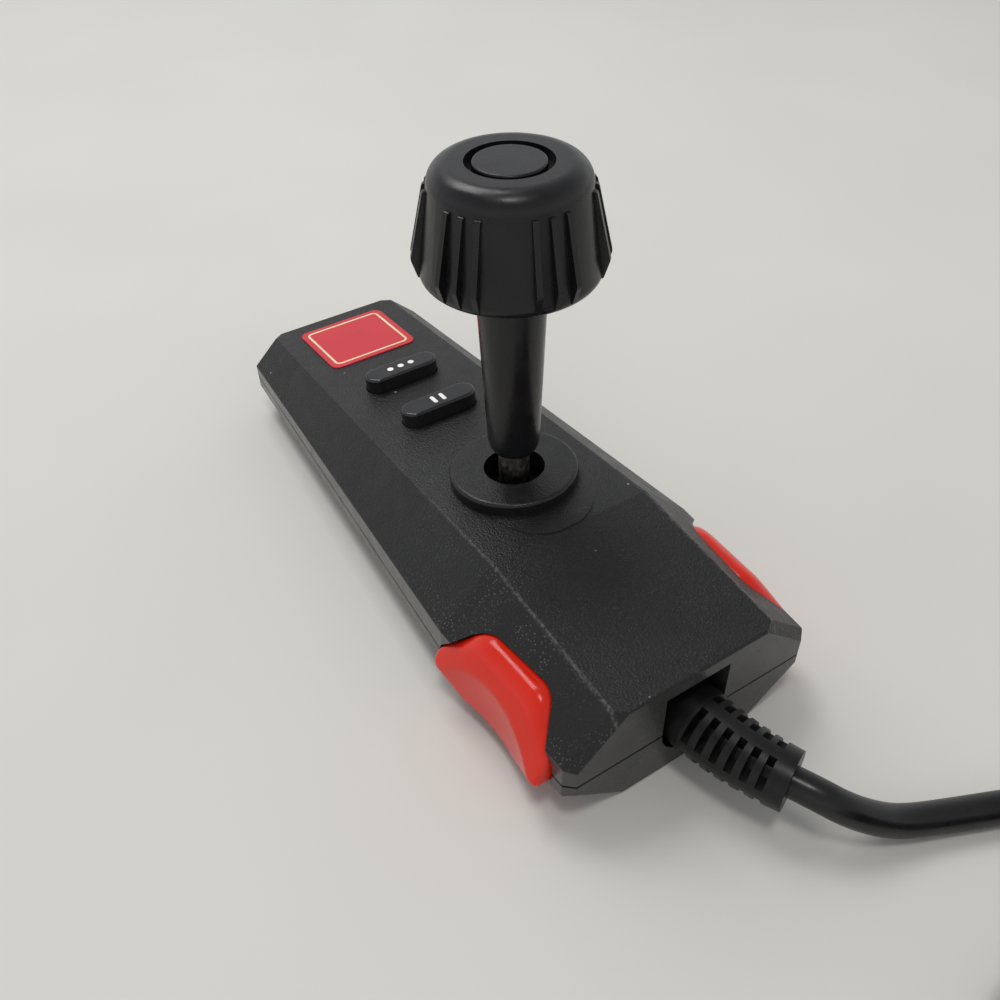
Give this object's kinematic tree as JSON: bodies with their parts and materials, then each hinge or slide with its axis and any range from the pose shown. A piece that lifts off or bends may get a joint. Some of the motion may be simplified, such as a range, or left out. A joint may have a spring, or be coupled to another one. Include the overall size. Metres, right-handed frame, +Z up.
{
  "type": "joystick controller",
  "caption": "Slim black hand-held joystick controller with a tall stick, ribbed knob, deck buttons, side buttons and a cord.",
  "frame": {"origin": "on the flat bottom, under the stick's axis", "axes": "+Z up through the stick, +Y towards the end that the cord leaves, +X to the side of fire_button_right"},
  "size_m": [0.0816, 0.2485, 0.0761],
  "materials": {
    "shell": "satin, grained on the deck and chamfers",
    "deck_ring": "satin with a fine grain",
    "button": "gloss",
    "side_button": "gloss",
    "label": "satin",
    "sleeve": "satin",
    "knob": "satin",
    "shaft": "worn bright",
    "inner_plastic": "satin",
    "board": "satin",
    "switch": "satin",
    "screw": "bright",
    "cord": "semi-gloss",
    "relief": "satin",
    "plug": "satin",
    "tie": "satin",
    "contact": "bright"
  },
  "bodies": {
    "housing": {"top_housing": "shell", "bottom_housing": "shell", "label_plate": "label", "collar": "deck_ring", "stick_cradle": "inner_plastic", "circuit_board": "board", "direction_switches": "switch", "menu_switches": "switch", "fire_switches": "switch", "board_connector": "inner_plastic", "lead_wires": "inner_plastic", "housing_screws": "screw", "cradle_screws": "screw", "board_screws": "screw", "clamp_screws": "screw", "cord_clamp": "inner_plastic", "strain_relief": "relief", "cord_inner": "cord", "cord_lead": "cord", "cord_coil": "cord", "coil_tie": "tie", "cord_tail": "cord", "plug_hood": "plug", "plug_face": "plug", "plug_contacts": "contact"},
    "gimbal": {"pivot_ring": "inner_plastic"},
    "stick": {"stick_core": "shaft", "stick_pin": "shaft", "stick_sleeve": "sleeve", "stick_actuator": "inner_plastic", "stick_nut": "screw", "knob": "knob", "knob_cap": "knob"},
    "select": {"select_button": "button"},
    "pause": {"pause_button": "button"},
    "fire_right": {"fire_button_right": "side_button"},
    "fire_left": {"fire_button_left": "side_button"}
  },
  "joints": [
    {"name": "gimbal_tilt", "type": "hinge", "parent": "housing", "child": "gimbal", "pos_m": [0, 0, 0.0165], "axis": [1, 0, 0], "range_deg": [-8, 8], "stiffness_Nm_per_rad": 0.25},
    {"name": "stick_tilt", "type": "hinge", "parent": "gimbal", "child": "stick", "pos_m": [0, 0, 0.0165], "axis": [0, 1, 0], "range_deg": [-8, 8], "stiffness_Nm_per_rad": 0.25},
    {"name": "select_press", "type": "slide", "parent": "housing", "child": "select", "axis": [0, 0.0781, -0.9969], "range_m": [0, 0.0008], "stiffness_N_per_m": 800},
    {"name": "pause_press", "type": "slide", "parent": "housing", "child": "pause", "axis": [0, 0.0781, -0.9969], "range_m": [0, 0.0008], "stiffness_N_per_m": 800},
    {"name": "fire_right_press", "type": "slide", "parent": "housing", "child": "fire_right", "axis": [-1, 0, 0], "range_m": [0, 0.001], "stiffness_N_per_m": 800},
    {"name": "fire_left_press", "type": "slide", "parent": "housing", "child": "fire_left", "axis": [1, 0, 0], "range_m": [0, 0.001], "stiffness_N_per_m": 800}
  ]
}
